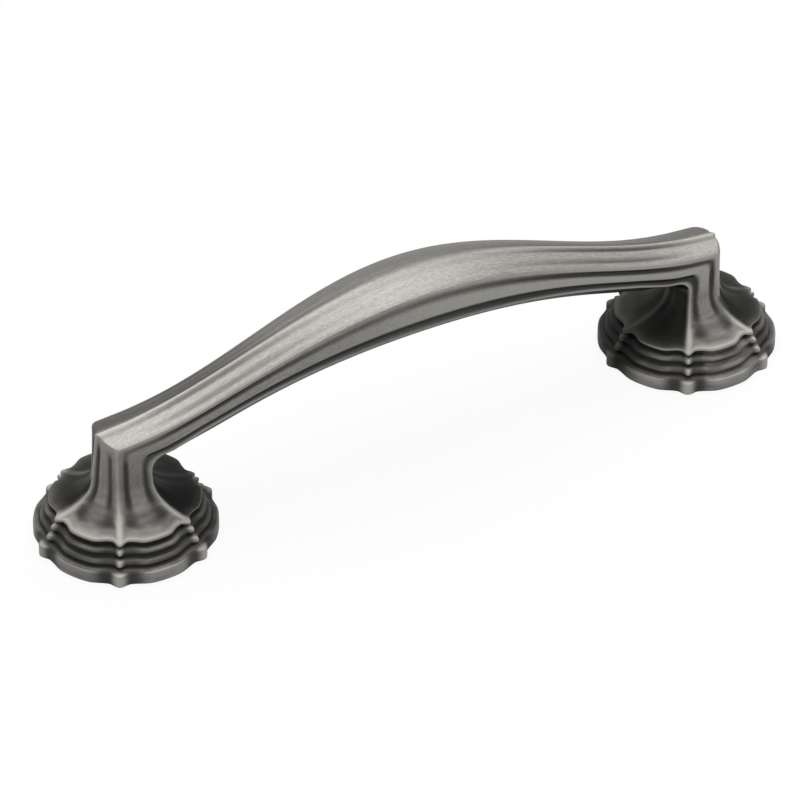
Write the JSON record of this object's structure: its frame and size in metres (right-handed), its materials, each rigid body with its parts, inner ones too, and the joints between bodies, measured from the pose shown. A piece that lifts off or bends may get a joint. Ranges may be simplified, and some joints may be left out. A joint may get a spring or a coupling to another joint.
{
  "type": "arch pull",
  "caption": "Arched cabinet pull with a fluted, swelling bar on mitred fluted posts that flare into stepped rosette feet, tapped from below for screws.",
  "frame": {"origin": "on the mounting plane, midway between the two screw holes", "axes": "+X along the pull from foot to foot, +Y across it, +Z away from the drawer front"},
  "size_m": [0.1242, 0.0274, 0.0309],
  "materials": {
    "antique_pewter": "brushed antique pewter over a zinc casting, dark in the grooves, worn bright on the ridges"
  },
  "bodies": {
    "root": {"pull_body": "antique_pewter"}
  },
  "joints": []
}
